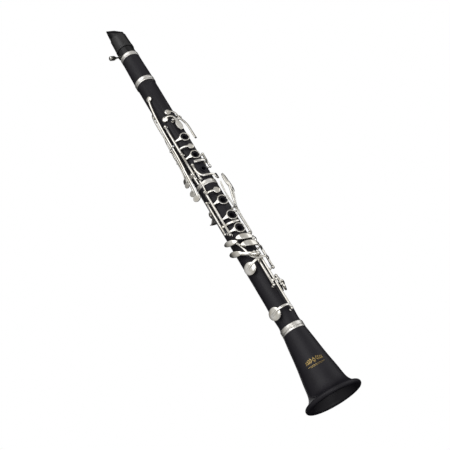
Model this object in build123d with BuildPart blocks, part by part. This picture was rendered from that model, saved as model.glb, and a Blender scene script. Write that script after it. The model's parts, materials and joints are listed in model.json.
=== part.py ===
from build123d import *
import os
from math import atan2, cos, degrees, hypot, radians, sin

# B flat clarinet, Boehm system, standing on its bell. Millimetres.
# Z runs up the bore from the bell rim, the finger holes face -Y, and +X is to the
# viewer's right. A place on the instrument is (height, angle, radius): the angle
# goes round the bore from the finger holes, positive towards +X.

# Heights of the five main pieces
BELL_TOP = 107.0
LOWER_TOP = 347.0
UPPER_TOP = 544.0
BARREL_TOP = 606.0
TIP = 675.0

# Radii of the main pieces
BORE = 7.45
LOWER_RADIUS = 14.9
UPPER_RADIUS = 14.5
BARREL_LOW_RADIUS = 15.0
BARREL_HIGH_RADIUS = 14.1
RIM_RADIUS = 39.0

# Gap between pieces that are fitted together
FIT = 0.02

# Tenons, sockets and corks
TENON_RADIUS = 11.6
SHOULDER = 2.5
TENON_LENGTH = 18.0
CORK_RADIUS = 12.5
CORK_GROOVE = 10.9
CORK_LENGTH = 13.0
SOCKET_RADIUS = 12.55
SOCKET_DEPTH = 18.6

# Metal end rings
RING_WALL = 1.5
RING_SEAT = 13.8
BELL_RING_SEAT = 14.4
BELL_RING_WALL = 1.9
RING_FIT = 0.03
RING_CORNER = 0.6
RING_GROOVE = 0.45
RING_GROOVE_PLACE = 0.36
SOCKET_RING_HEIGHT = 7.5
BELL_RING_HEIGHT = 9.0
BARREL_RING_HEIGHT = 8.0
BARREL_HIGH_RING = 7.0
BARREL_LOW_SEAT = 14.0
BARREL_HIGH_SEAT = 12.9

# Key work
ROD = 0.9
ROD_HOLE = 0.93
TUBE = 1.65
TUBE_HOLE = 0.98
BALL = 2.2
SMALL_BALL = 1.75
STEM = 1.2
STEM_DEPTH = 3.0
FLANGE = 1.8
FLANGE_HEIGHT = 0.5
FLANGE_GAP = 0.35
BALL_GAP = 2.15
HINGE = 19.2
RING_BAND = 0.8
RING_HOLE_UPPER = 5.8
RING_HOLE_LOWER = 6.5
CHIMNEY_UPPER = 4.8
CHIMNEY_LOWER = 5.4
WEB = 1.3
WEB_DROP = 1.9
WEB_REACH = 0.8
WEB_SPREAD = 0.72
SMALL_CUP = 4.5
BIG_CUP = 8.8
MIDDLE_CUP = 7.6
VENT_CUP = 5.0
REGISTER_CUP = 4.2
CUP_WALL = 0.5
SMALL_CUP_DEPTH = 2.4
C_SHARP_CUP = 4.0
C_SHARP_CUP_DEPTH = 1.5
BIG_CUP_DEPTH = 3.0
CUP_HOLLOW = 0.45
CUP_EDGE = 0.6
CUP_CREST = 0.7
PAD_PROUD = 0.7
PAD_GAP = 0.03
SMALL_SEAT = 15.2
BIG_SEAT = 16.5

UP = (0, 0, 1)

os.makedirs("parts", exist_ok=True)


# ---------------------------------------------------------------- places and planes


def outward(angle):
    return Vector(sin(radians(angle)), -cos(radians(angle)), 0)


def sideways(angle):
    return Vector(cos(radians(angle)), sin(radians(angle)), 0)


def around(height, angle, radius):
    return outward(angle) * radius + Vector(0, 0, height)


def surface(height, angle, radius):
    """A plane that faces away from the bore, x round the body and y up it."""
    return Plane(around(height, angle, radius), x_dir=sideways(angle), z_dir=outward(angle))


def hinge_line(angle, radius=HINGE):
    return Axis(around(0, angle, radius), UP)


# ---------------------------------------------------------------- pieces of key work


def bar(start, end, radius):
    """A round bar between two points."""
    along = end - start
    with BuildPart(Plane(start, z_dir=along)) as piece:
        Cylinder(radius, along.length, align=(Align.CENTER, Align.CENTER, Align.MIN))
    return piece.part


def hinge_tube(low, high, angle, radius=HINGE, outer=TUBE):
    return bar(around(low, angle, radius), around(high, angle, radius), outer)


def cross_tube(height, angle, radius, length, shift=0.0, outer=TUBE):
    middle = around(height, angle, radius) + sideways(angle) * shift
    half = sideways(angle) * (length / 2)
    return bar(middle - half, middle + half, outer)


def arm(points, width=3.0, thickness=1.5):
    """A flat oval bar swept through a few places on the instrument."""
    places = [around(*point) for point in points]
    with BuildPart() as piece:
        with BuildLine() as path:
            Spline(*places)
        along = path.line % 0
        away = outward(points[0][1])
        with BuildSketch(Plane(path.line @ 0, x_dir=away.cross(along), z_dir=along)):
            Ellipse(width / 2, thickness / 2)
        sweep()
    return piece.part


def cup(height, angle, seat, size=SMALL_CUP, depth=SMALL_CUP_DEPTH):
    """A round pad cup with a domed top, hollow underneath for the pad."""
    foot = surface(height, angle, seat + PAD_GAP + PAD_PROUD)
    hollow = depth * CUP_HOLLOW
    edge = depth * CUP_EDGE
    with BuildPart() as piece:
        with BuildSketch(Plane(foot.origin, x_dir=foot.x_dir, z_dir=-foot.y_dir)):
            with BuildLine():
                Polyline(
                    (0, depth),
                    (0, hollow),
                    (size - CUP_WALL, hollow),
                    (size - CUP_WALL, 0),
                    (size, 0),
                    (size, edge),
                )
                Bezier((size, edge), (size * CUP_CREST, depth), (0, depth))
            make_face()
        revolve(axis=Axis(foot.origin, foot.z_dir))
    return piece.part


def pad(height, angle, seat, size=SMALL_CUP, depth=SMALL_CUP_DEPTH):
    """The pad that fills a cup and stands a little proud of it."""
    with BuildPart(surface(height, angle, seat + PAD_GAP)) as piece:
        Cylinder(
            size - CUP_WALL - FIT,
            PAD_PROUD + depth * CUP_HOLLOW - FIT,
            align=(Align.CENTER, Align.CENTER, Align.MIN),
        )
        fillet(piece.edges().sort_by(Axis((0, 0, 0), outward(angle)))[0], 0.3)
    return piece.part


def finger_ring(height, angle, radius, hole):
    """A finger ring with an oval section, lying round a chimney."""
    level = surface(height, angle, radius)
    with BuildPart() as piece:
        with BuildSketch(Plane(level.origin, x_dir=level.x_dir, z_dir=level.y_dir)):
            with Locations((hole + RING_BAND, 0)):
                Ellipse(RING_BAND, 0.7)
        revolve(axis=Axis(level.origin, level.z_dir))
    return piece.part


def ring_web(height, angle, radius, hole, hinge_height, hinge_angle):
    """A flat web with hollow sides that spreads from the hinge tube to a finger ring."""
    start = around(hinge_height, hinge_angle, HINGE)
    side = -1 if hinge_angle < angle else 1
    end = around(hinge_height, angle, radius) + sideways(angle) * (side * hole * WEB_REACH)
    across = end - start
    reach = across.length
    rise = height - hinge_height
    spread = hole * WEB_SPREAD
    with BuildPart() as piece:
        with BuildSketch(Plane(start, x_dir=across, z_dir=across.cross(Vector(*UP)))):
            with BuildLine():
                ThreePointArc(
                    (0, -TUBE), (reach * 0.5, rise * 0.5 - TUBE), (reach, rise - spread)
                )
                Line((reach, rise - spread), (reach, rise + spread))
                ThreePointArc(
                    (reach, rise + spread), (reach * 0.5, rise * 0.5 + TUBE), (0, TUBE)
                )
                Line((0, TUBE), (0, -TUBE))
            make_face()
        extrude(amount=WEB / 2, both=True)
        middle = around(height, angle, radius)
        add(bar(middle - outward(angle) * 6, middle + outward(angle) * 6, hole), mode=Mode.SUBTRACT)
    return piece.part


def end_ring(seat, wall, foot, top):
    """A metal band on the end of a joint, its corners rounded and a groove turned in it."""
    height = top - foot - 2 * FIT
    with BuildPart() as piece:
        with BuildSketch(Plane.XZ) as outline:
            with Locations((seat + RING_FIT, foot + FIT)):
                Rectangle(wall, height, align=(Align.MIN, Align.MIN))
            fillet(outline.vertices().sort_by(Axis.X)[-2:], RING_CORNER)
            with Locations((seat + RING_FIT + wall, foot + height * RING_GROOVE_PLACE)):
                Rectangle(2 * RING_GROOVE, RING_GROOVE, mode=Mode.SUBTRACT)
        revolve(axis=Axis.Z)
    return piece.part


def curved_plate(height, angle, inner, outer, length, width, slant=0.0, crown=0.0):
    """An oval touch piece that follows the curve of the body, its upper edge rounded."""
    with BuildPart() as piece:
        with BuildSketch(surface(height, angle, 0)):
            Ellipse(length / 2, width / 2, rotation=slant)
        extrude(amount=outer + 2)
        with BuildSketch(Plane.XY.offset(height - length)):
            Circle(outer)
            Circle(inner, mode=Mode.SUBTRACT)
        extrude(amount=2 * length, mode=Mode.INTERSECT)
        if crown:
            top = piece.faces().sort_by(lambda face: face.center().dot(outward(angle)))[-1]
            fillet(top.edges(), crown)
    return piece.part


def paddle(height, angle, radius, across, along, tilt, thickness=1.7):
    """A flat oval touch piece. A positive tilt lifts the side at larger angles."""
    lean = radians(tilt)
    level = Plane(
        around(height, angle, radius),
        x_dir=sideways(angle) * cos(lean) + outward(angle) * sin(lean),
        z_dir=outward(angle) * cos(lean) - sideways(angle) * sin(lean),
    )
    with BuildPart() as piece:
        with BuildSketch(level):
            Ellipse(across / 2, along / 2)
        extrude(amount=thickness)
        fillet(piece.edges().sort_by(Axis(level.origin, level.z_dir))[-1], 0.6)
    return piece.part


def body_radius(height):
    return LOWER_RADIUS if height < LOWER_TOP else UPPER_RADIUS


def post(place, along, ball=BALL):
    """A ball post, screwed into the body, bored for its hinge rod."""
    angle = degrees(atan2(place.X, -place.Y))
    drop = hypot(place.X, place.Y) - body_radius(place.Z)
    neck = -((ball**2 - STEM**2) ** 0.5)
    flange = FLANGE_GAP - drop
    with BuildPart() as piece:
        with BuildSketch(Plane(place, x_dir=UP, z_dir=sideways(angle))):
            with BuildLine():
                Polyline(
                    (0, ball),
                    (0, -drop - STEM_DEPTH),
                    (STEM, -drop - STEM_DEPTH),
                    (STEM, flange),
                    (FLANGE, flange),
                    (FLANGE, flange + FLANGE_HEIGHT),
                    (STEM, min(flange + 2 * FLANGE_HEIGHT, neck - 0.1)),
                    (STEM, neck),
                )
                ThreePointArc((STEM, neck), (ball, 0), (0, ball))
            make_face()
        revolve(axis=Axis(place, outward(angle)))
        add(bar(place - along * 5, place + along * 5, ROD_HOLE), mode=Mode.SUBTRACT)
    return piece.part


def post_hole(place):
    """The hole in the body for a post's stem."""
    angle = degrees(atan2(place.X, -place.Y))
    bottom = around(place.Z, angle, body_radius(place.Z) - STEM_DEPTH - 0.05)
    return bar(bottom, bottom + outward(angle) * (STEM_DEPTH + 4), STEM + FIT)


def chimney(height, angle, top, radius):
    """A raised collar round a tone hole."""
    return bar(around(height, angle, BORE + 1), around(height, angle, top), radius)


def tone_hole(height, angle, radius):
    return bar(around(height, angle, 0), around(height, angle, 22), radius)


# ---------------------------------------------------------------- hinge layout
# Each long hinge is (low post, high post, angle, radius), each cross hinge is
# (height, angle, radius, half span between its posts).

UPPER_STACK = (353.6, 453.0, -58.0, HINGE)
STACK_MIDDLE = 399.0
C_SHARP_HINGE = (350.4, 375.6, -42.0, 17.9)
LEFT_SLIVER_HINGE = (370.4, 393.2, 58.0, 18.6)
THUMB_HINGE = (409.6, 451.0, 112.0, HINGE)
THROAT_A_HINGE = (456.5, 2.0, 18.6, 5.0)
THROAT_G_HINGE = (463.0, 27.0, 18.8, 4.8)
REGISTER_HINGE = (488.0, 180.0, 19.0, 4.8)
TRILL_HINGE = (418.0, -84.0, 20.0, 5.4)
SIDE_HINGE = (402.0, -117.0, 18.4, 5.4)

LOWER_STACK = (253.4, 328.6, -55.0, HINGE)
RIGHT_SLIVER_HINGE = (259.2, 313.8, -74.0, HINGE)
F_C_HINGE = (161.6, 215.4, -9.0, HINGE)
E_B_HINGE = (123.4, 215.4, 8.0, HINGE)
F_SHARP_HINGE = (189.4, 223.6, 50.0, 20.2)
A_FLAT_HINGE = (231.2, 245.4, 25.0, HINGE)
F_C_CUP_HINGE = (160.6, 174.4, 30.0, HINGE)
LEFT_LEVER_HINGE = (292.0, 56.0, 20.0, 8.7)

UPPER_LONG = [UPPER_STACK, C_SHARP_HINGE, LEFT_SLIVER_HINGE, THUMB_HINGE]
UPPER_CROSS = [THROAT_A_HINGE, THROAT_G_HINGE, REGISTER_HINGE, TRILL_HINGE, SIDE_HINGE]
LOWER_LONG = [
    LOWER_STACK,
    RIGHT_SLIVER_HINGE,
    F_C_HINGE,
    E_B_HINGE,
    F_SHARP_HINGE,
    A_FLAT_HINGE,
    F_C_CUP_HINGE,
]
LOWER_CROSS = [LEFT_LEVER_HINGE]

# How far the open-standing keys stand above their tone holes, in degrees
STACK_OPEN = 5.6
THUMB_OPEN = 6.5
E_B_OPEN = 6.2
F_SHARP_OPEN = 6.2
F_C_OPEN = 7.0
F_C_CUP_OPEN = 8.0

# Tone holes: (height, angle, hole radius)
FINGER_HOLES_UPPER = [(424.3, 0.0, 3.4), (390.6, 0.0, 3.5), (365.0, 0.0, 3.2)]
FINGER_HOLES_LOWER = [(306.8, 0.0, 4.0), (280.1, 0.0, 4.2), (257.8, 0.0, 4.1)]
SMALL_CHIMNEY = 3.0
SMALL_TONE_HOLE = 2.1
VENT_CHIMNEY = 3.4
VENT_TONE_HOLE = 2.5
BIG_CHIMNEY = 6.6
BIG_TONE_HOLE = 5.6
THUMB_HOLE = (424.0, 180.0, 3.2)
REGISTER_VENT = (524.0, 180.0)
FINGER_CHIMNEY_TOP_UPPER = 15.9
FINGER_CHIMNEY_TOP_LOWER = 16.2

# Cups of the upper joint: (height, angle, seat)
TRILL_1 = (510.0, -61.0, SMALL_SEAT)
TRILL_2 = (484.0, -96.0, SMALL_SEAT)
SIDE_3 = (441.0, -112.0, SMALL_SEAT)
SIDE_4 = (426.0, -134.0, SMALL_SEAT)
THROAT_A = (464.5, -41.0, SMALL_SEAT)
THROAT_G = (474.0, -12.0, SMALL_SEAT)
STACK_VENT = (405.0, 0.0, SMALL_SEAT)
THUMB_VENT = (443.0, 150.0, SMALL_SEAT)
LEFT_SLIVER = (384.0, 94.0, SMALL_SEAT)
C_SHARP = (365.0, -80.0, 14.9)
REGISTER = (REGISTER_VENT[0], REGISTER_VENT[1], 16.6)

# Cups of the lower joint
LOWER_VENT = (323.4, -4.0, 15.6)
RIGHT_SLIVER = (300.0, -110.0, 15.6)
A_FLAT = (238.0, 64.0, BIG_SEAT)
F_SHARP = (197.0, -63.0, BIG_SEAT)
F_C = (162.0, 64.0, BIG_SEAT)
E_B = (127.0, -67.0, BIG_SEAT)

UPPER_CUPS = [
    TRILL_1,
    TRILL_2,
    SIDE_3,
    SIDE_4,
    THROAT_A,
    THROAT_G,
    STACK_VENT,
    THUMB_VENT,
    LEFT_SLIVER,
    C_SHARP,
]


def rod_places(long_hinges, cross_hinges):
    """Every post place of one joint, each with its rod's direction."""
    places = []
    for low, high, angle, radius in long_hinges:
        for height in (low, high):
            places.append((around(height, angle, radius), Vector(UP)))
    for height, angle, radius, half in cross_hinges:
        for shift in (-half, half):
            place = around(height, angle, radius) + sideways(angle) * shift
            places.append((place, sideways(angle)))
    return places


UPPER_PLACES = rod_places(UPPER_LONG, UPPER_CROSS)
UPPER_PLACES.append((around(STACK_MIDDLE, UPPER_STACK[2], HINGE), Vector(UP)))
LOWER_PLACES = rod_places(LOWER_LONG, LOWER_CROSS)


# ---------------------------------------------------------------- bell

BELL_SOCKET_FLOOR = BELL_TOP - SOCKET_DEPTH - 0.4
BELL_RING_FOOT = BELL_TOP - BELL_RING_HEIGHT
BELL_THROAT = BORE + 2.1
BELL_NECK = 16.2
with BuildPart() as bell:
    with BuildSketch(Plane.XZ):
        with BuildLine():
            Polyline(
                (BELL_THROAT, BELL_SOCKET_FLOOR),
                (SOCKET_RADIUS, BELL_SOCKET_FLOOR),
                (SOCKET_RADIUS, BELL_TOP),
                (BELL_RING_SEAT, BELL_TOP),
                (BELL_RING_SEAT, BELL_RING_FOOT),
                (BELL_NECK, BELL_RING_FOOT),
            )
            Spline(
                (BELL_NECK, BELL_RING_FOOT),
                (18.6, 79.0),
                (21.6, 54.0),
                (25.4, 29.0),
                (30.0, 11.5),
                (35.6, 6.6),
            )
            ThreePointArc((35.6, 6.6), (RIM_RADIUS, 3.4), (36.2, 0.0))
            Line((36.2, 0.0), (34.6, 0.0))
            ThreePointArc((34.6, 0.0), (32.2, 1.0), (31.0, 3.4))
            Spline((31.0, 3.4), (27.4, 10.0), (21.8, 29.0), (16.4, 54.0), (BELL_THROAT, BELL_SOCKET_FLOOR))
        make_face()
    revolve(axis=Axis.Z)
bell.part.label = "bell"
export_step(bell.part, "parts/bell.step")

with BuildPart() as bell_ring:
    add(end_ring(BELL_RING_SEAT, BELL_RING_WALL, BELL_TOP - BELL_RING_HEIGHT, BELL_TOP))
bell_ring.part.label = "bell_ring"
export_step(bell_ring.part, "parts/bell_ring.step")


# ---------------------------------------------------------------- lower joint

with BuildPart() as lower_joint:
    with BuildSketch(Plane.XZ):
        with BuildLine():
            Polyline(
                (15.7, BELL_TOP + FIT),
                (TENON_RADIUS, BELL_TOP + FIT),
                (TENON_RADIUS, BELL_TOP - SHOULDER),
                (CORK_GROOVE, BELL_TOP - SHOULDER),
                (CORK_GROOVE, BELL_TOP - SHOULDER - CORK_LENGTH),
                (TENON_RADIUS, BELL_TOP - SHOULDER - CORK_LENGTH),
                (TENON_RADIUS, BELL_TOP - TENON_LENGTH),
                (BORE + 1.4, BELL_TOP - TENON_LENGTH),
            )
            Line((BORE + 1.4, BELL_TOP - TENON_LENGTH), (BORE, 135.0))
            Polyline(
                (BORE, 135.0),
                (BORE, LOWER_TOP - SOCKET_DEPTH),
                (SOCKET_RADIUS, LOWER_TOP - SOCKET_DEPTH),
                (SOCKET_RADIUS, LOWER_TOP),
                (RING_SEAT, LOWER_TOP),
                (RING_SEAT, LOWER_TOP - SOCKET_RING_HEIGHT),
                (LOWER_RADIUS, LOWER_TOP - SOCKET_RING_HEIGHT),
                (LOWER_RADIUS, 150.0),
            )
            Spline(
                (LOWER_RADIUS, 150.0),
                (15.1, 125.0),
                (15.7, BELL_TOP + FIT),
                tangents=((0, -1), (0.4, -1)),
            )
        make_face()
    revolve(axis=Axis.Z)
    for height, angle, radius in FINGER_HOLES_LOWER:
        add(chimney(height, angle, FINGER_CHIMNEY_TOP_LOWER, CHIMNEY_LOWER))
    for height, angle, seat in (A_FLAT, F_SHARP, F_C, E_B):
        add(chimney(height, angle, seat, BIG_CHIMNEY))
    for height, angle, seat in (LOWER_VENT, RIGHT_SLIVER):
        add(chimney(height, angle, seat, VENT_CHIMNEY))
    for height, angle, radius in FINGER_HOLES_LOWER:
        add(tone_hole(height, angle, radius), mode=Mode.SUBTRACT)
    for height, angle, seat in (A_FLAT, F_SHARP, F_C, E_B):
        add(tone_hole(height, angle, BIG_TONE_HOLE), mode=Mode.SUBTRACT)
    for height, angle, seat in (LOWER_VENT, RIGHT_SLIVER):
        add(tone_hole(height, angle, VENT_TONE_HOLE), mode=Mode.SUBTRACT)
    for place, along in LOWER_PLACES:
        add(post_hole(place), mode=Mode.SUBTRACT)
    for height in (287.5, 294.5):
        hole_bottom = around(height, 180, 11.9)
        add(bar(hole_bottom, around(height, 180, 17), 1.02), mode=Mode.SUBTRACT)
lower_joint.part.label = "lower_joint"
export_step(lower_joint.part, "parts/lower_joint.step")

with BuildPart() as lower_joint_ring:
    add(end_ring(RING_SEAT, RING_WALL, LOWER_TOP - SOCKET_RING_HEIGHT, LOWER_TOP))
lower_joint_ring.part.label = "lower_joint_ring"
export_step(lower_joint_ring.part, "parts/lower_joint_ring.step")


# ---------------------------------------------------------------- upper joint

with BuildPart() as upper_joint:
    with BuildSketch(Plane.XZ):
        with BuildLine():
            Polyline(
                (BORE, LOWER_TOP - TENON_LENGTH),
                (BORE, UPPER_TOP + TENON_LENGTH),
                (TENON_RADIUS, UPPER_TOP + TENON_LENGTH),
                (TENON_RADIUS, UPPER_TOP + SHOULDER + CORK_LENGTH),
                (CORK_GROOVE, UPPER_TOP + SHOULDER + CORK_LENGTH),
                (CORK_GROOVE, UPPER_TOP + SHOULDER),
                (TENON_RADIUS, UPPER_TOP + SHOULDER),
                (TENON_RADIUS, UPPER_TOP - FIT),
                (UPPER_RADIUS, UPPER_TOP - FIT),
                (UPPER_RADIUS, LOWER_TOP + FIT),
                (TENON_RADIUS, LOWER_TOP + FIT),
                (TENON_RADIUS, LOWER_TOP - SHOULDER),
                (CORK_GROOVE, LOWER_TOP - SHOULDER),
                (CORK_GROOVE, LOWER_TOP - SHOULDER - CORK_LENGTH),
                (TENON_RADIUS, LOWER_TOP - SHOULDER - CORK_LENGTH),
                (TENON_RADIUS, LOWER_TOP - TENON_LENGTH),
                close=True,
            )
        make_face()
    revolve(axis=Axis.Z)
    for height, angle, radius in FINGER_HOLES_UPPER:
        add(chimney(height, angle, FINGER_CHIMNEY_TOP_UPPER, CHIMNEY_UPPER))
    add(chimney(THUMB_HOLE[0], THUMB_HOLE[1], 15.6, 4.1))
    for height, angle, seat in UPPER_CUPS:
        add(chimney(height, angle, seat, SMALL_CHIMNEY))
    for height, angle, radius in (*FINGER_HOLES_UPPER, THUMB_HOLE):
        add(tone_hole(height, angle, radius), mode=Mode.SUBTRACT)
    for height, angle, seat in UPPER_CUPS:
        add(tone_hole(height, angle, SMALL_TONE_HOLE), mode=Mode.SUBTRACT)
    for place, along in UPPER_PLACES:
        add(post_hole(place), mode=Mode.SUBTRACT)
    add(tone_hole(REGISTER_VENT[0], REGISTER_VENT[1], 2.42), mode=Mode.SUBTRACT)
upper_joint.part.label = "upper_joint"
export_step(upper_joint.part, "parts/upper_joint.step")

with BuildPart() as register_vent_tube:
    add(bar(around(*REGISTER_VENT, BORE - 1.5), around(*REGISTER_VENT, 15.6), 2.4))
    add(bar(around(*REGISTER_VENT, 14.6), around(*REGISTER_VENT, REGISTER[2]), 2.4))
    add(
        bar(around(*REGISTER_VENT, BORE - 3), around(*REGISTER_VENT, 18), 1.5),
        mode=Mode.SUBTRACT,
    )
register_vent_tube.part.label = "register_vent_tube"
export_step(register_vent_tube.part, "parts/register_vent_tube.step")

CORK_FOOTS = [
    BELL_TOP - SHOULDER - CORK_LENGTH,
    LOWER_TOP - SHOULDER - CORK_LENGTH,
    UPPER_TOP + SHOULDER,
]
with BuildPart() as tenon_corks:
    for foot in CORK_FOOTS:
        with BuildSketch(Plane.XY.offset(foot)):
            Circle(CORK_RADIUS)
            Circle(CORK_GROOVE, mode=Mode.SUBTRACT)
        extrude(amount=CORK_LENGTH)
tenon_corks.part.label = "tenon_corks"
export_step(tenon_corks.part, "parts/tenon_corks.step")


# ---------------------------------------------------------------- barrel

MOUTHPIECE_SOCKET = 11.65
with BuildPart() as barrel:
    with BuildSketch(Plane.XZ):
        with BuildLine():
            Polyline(
                (SOCKET_RADIUS, UPPER_TOP),
                (SOCKET_RADIUS, UPPER_TOP + SOCKET_DEPTH),
                (BORE, UPPER_TOP + SOCKET_DEPTH),
                (BORE, BARREL_TOP - SOCKET_DEPTH),
                (MOUTHPIECE_SOCKET, BARREL_TOP - SOCKET_DEPTH),
                (MOUTHPIECE_SOCKET, BARREL_TOP),
                (BARREL_HIGH_SEAT, BARREL_TOP),
                (BARREL_HIGH_SEAT, BARREL_TOP - BARREL_HIGH_RING),
                (BARREL_HIGH_RADIUS, BARREL_TOP - BARREL_HIGH_RING),
                (BARREL_LOW_RADIUS, UPPER_TOP + BARREL_RING_HEIGHT),
                (BARREL_LOW_SEAT, UPPER_TOP + BARREL_RING_HEIGHT),
                (BARREL_LOW_SEAT, UPPER_TOP),
                close=True,
            )
        make_face()
    revolve(axis=Axis.Z)
barrel.part.label = "barrel"
export_step(barrel.part, "parts/barrel.step")

with BuildPart() as barrel_rings:
    add(end_ring(BARREL_LOW_SEAT, RING_WALL, UPPER_TOP, UPPER_TOP + BARREL_RING_HEIGHT))
    add(end_ring(BARREL_HIGH_SEAT, RING_WALL, BARREL_TOP - BARREL_HIGH_RING, BARREL_TOP))
barrel_rings.part.label = "barrel_rings"
export_step(barrel_rings.part, "parts/barrel_rings.step")


# ---------------------------------------------------------------- mouthpiece

TABLE = 9.2
BEAK_START = 648.0
MOUTH_LOW_RADIUS = 13.5
MOUTH_HIGH_RADIUS = 12.0
MOUTH_TENON = 11.2
with BuildPart() as mouthpiece:
    with BuildSketch(Plane.XZ):
        with BuildLine():
            Polyline(
                (BORE, BARREL_TOP - 17),
                (MOUTH_TENON, BARREL_TOP - 17),
                (MOUTH_TENON, BARREL_TOP - 15),
                (10.2, BARREL_TOP - 15),
                (10.2, BARREL_TOP - 4),
                (MOUTH_TENON, BARREL_TOP - 4),
                (MOUTH_TENON, BARREL_TOP + 0.05),
                (MOUTH_LOW_RADIUS, BARREL_TOP + 0.05),
                (MOUTH_HIGH_RADIUS, BEAK_START),
                (MOUTH_HIGH_RADIUS - 0.6, TIP),
                (2.5, TIP),
                (2.5, 660.0),
                (BORE - 1, 632.0),
                close=True,
            )
        make_face()
    revolve(axis=Axis.Z)
    # The flat table that the reed lies on
    with BuildSketch(Plane.XY.offset(BARREL_TOP + 8)):
        with Locations((0, TABLE)):
            Rectangle(40, 20, align=(Align.CENTER, Align.MIN))
    extrude(amount=80, mode=Mode.SUBTRACT)
    # The beak slopes from the front down to a thin tip at the table
    with BuildSketch(Plane.YZ):
        with BuildLine():
            Spline(
                (-MOUTH_HIGH_RADIUS - 0.4, BEAK_START),
                (-4.5, 658.5),
                (TABLE - 1.5, TIP + 0.1),
            )
            Polyline(
                (TABLE - 1.5, TIP + 0.1),
                (-30, TIP + 0.1),
                (-30, BEAK_START),
                (-MOUTH_HIGH_RADIUS - 0.4, BEAK_START),
            )
        make_face()
    extrude(amount=30, both=True, mode=Mode.SUBTRACT)
    # The sides narrow towards the tip
    for side in (-1, 1):
        with BuildSketch(Plane.XZ):
            with BuildLine():
                Polyline(
                    (side * 12.4, 640),
                    (side * 6.6, TIP + 1),
                    (side * 30, TIP + 1),
                    (side * 30, 640),
                    close=True,
                )
            make_face()
        extrude(amount=30, both=True, mode=Mode.SUBTRACT)
    # The window under the reed
    with BuildSketch(Plane.XZ.offset(-TABLE - 1)):
        with Locations((0, 655)):
            RectangleRounded(9.4, 34, 2)
    extrude(amount=TABLE - 2, mode=Mode.SUBTRACT)
mouthpiece.part.label = "mouthpiece"
export_step(mouthpiece.part, "parts/mouthpiece.step")

REED_HEEL = 612.0
REED_TOP = TIP - 0.4
with BuildPart() as reed:
    with BuildSketch(Plane.YZ):
        with BuildLine():
            Line((TABLE + FIT, REED_HEEL + 3), (TABLE + FIT, REED_TOP))
            Line((TABLE + FIT, REED_TOP), (TABLE + 0.22, REED_TOP))
            Spline((TABLE + 0.22, REED_TOP), (TABLE + 0.9, 662.0), (TABLE + 2.6, 646.0))
            Line((TABLE + 2.6, 646.0), (TABLE + 2.6, REED_HEEL + 3))
            Line((TABLE + 2.6, REED_HEEL + 3), (TABLE + FIT, REED_HEEL + 3))
        make_face()
    extrude(amount=6.3, both=True)
    with BuildSketch(Plane.XY.offset(REED_HEEL)):
        Circle(MOUTH_HIGH_RADIUS)
    extrude(amount=80, mode=Mode.INTERSECT)
reed.part.label = "reed"
export_step(reed.part, "parts/reed.step")

with BuildPart() as mouthpiece_cork:
    with BuildSketch(Plane.XY.offset(BARREL_TOP - 15)):
        Circle(11.6)
        Circle(10.2, mode=Mode.SUBTRACT)
    extrude(amount=11)
mouthpiece_cork.part.label = "mouthpiece_cork"
export_step(mouthpiece_cork.part, "parts/mouthpiece_cork.step")

BAND_LOW = 619.5
BAND_HIGH = 647.5
BAND_WALL = 0.9
SCREW_HEIGHT = 625.0
SCREW_BACK = 17.0
with BuildPart() as ligature_band:
    with BuildSketch(Plane.XZ):
        with BuildLine():
            Polyline(
                (13.1, BAND_LOW),
                (12.1, BAND_HIGH),
                (12.1 + BAND_WALL, BAND_HIGH),
                (13.1 + BAND_WALL, BAND_LOW),
                close=True,
            )
        make_face()
    revolve(axis=Axis.Z)
    with BuildSketch(Plane.XY.offset(SCREW_HEIGHT - 3.2)):
        for side in (-1, 1):
            with Locations((side * 3.2, 12.6)):
                Rectangle(2.0, 7.4, align=(Align.CENTER, Align.MIN))
    extrude(amount=6.4)
    # The slot between the two lugs lets the band close on the reed
    with BuildSketch(Plane.XY.offset(BAND_LOW - 1)):
        with Locations((0, 12.4)):
            Rectangle(3.0, 4, align=(Align.CENTER, Align.MIN))
    extrude(amount=30, mode=Mode.SUBTRACT)
    with BuildSketch(Plane.YZ):
        with Locations((SCREW_BACK, SCREW_HEIGHT)):
            Circle(1.36)
    extrude(amount=8, both=True, mode=Mode.SUBTRACT)
ligature_band.part.label = "ligature_band"
export_step(ligature_band.part, "parts/ligature_band.step")

with BuildPart() as ligature_screw:
    with BuildSketch(Plane.YZ.offset(7.5)):
        with Locations((SCREW_BACK, SCREW_HEIGHT)):
            Circle(1.3)
    extrude(amount=-20)
    with BuildSketch(Plane.YZ.offset(-10.5)):
        with Locations((SCREW_BACK, SCREW_HEIGHT)):
            Circle(2.2)
    extrude(amount=-3)
    with BuildSketch(Plane.YZ.offset(-13.0)):
        with Locations((SCREW_BACK, SCREW_HEIGHT)):
            RegularPolygon(3.6, 16)
    extrude(amount=-8)
    chamfer(ligature_screw.faces().sort_by(Axis.X)[0].edges(), 0.6)
ligature_screw.part.label = "ligature_screw"
export_step(ligature_screw.part, "parts/ligature_screw.step")


# ---------------------------------------------------------------- thumb rest

with BuildPart() as thumb_rest:
    add(curved_plate(291, 180, 14.95, 16.0, 12.0, 25.0))
    add(
        arm(
            [(301.5, 180, 15.6), (303.0, 180, 22.0), (300.5, 180, 28.0), (301.5, 180, 33.0)],
            width=13.0,
            thickness=2.6,
        )
    )
    with BuildSketch(Plane.XY.offset(270)):
        Circle(14.95)
    extrude(amount=60, mode=Mode.SUBTRACT)
    for height in (287.5, 294.5):
        add(bar(around(height, 180, 12), around(height, 180, 17), 1.1), mode=Mode.SUBTRACT)
thumb_rest.part.label = "thumb_rest"
export_step(thumb_rest.part, "parts/thumb_rest.step")

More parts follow.
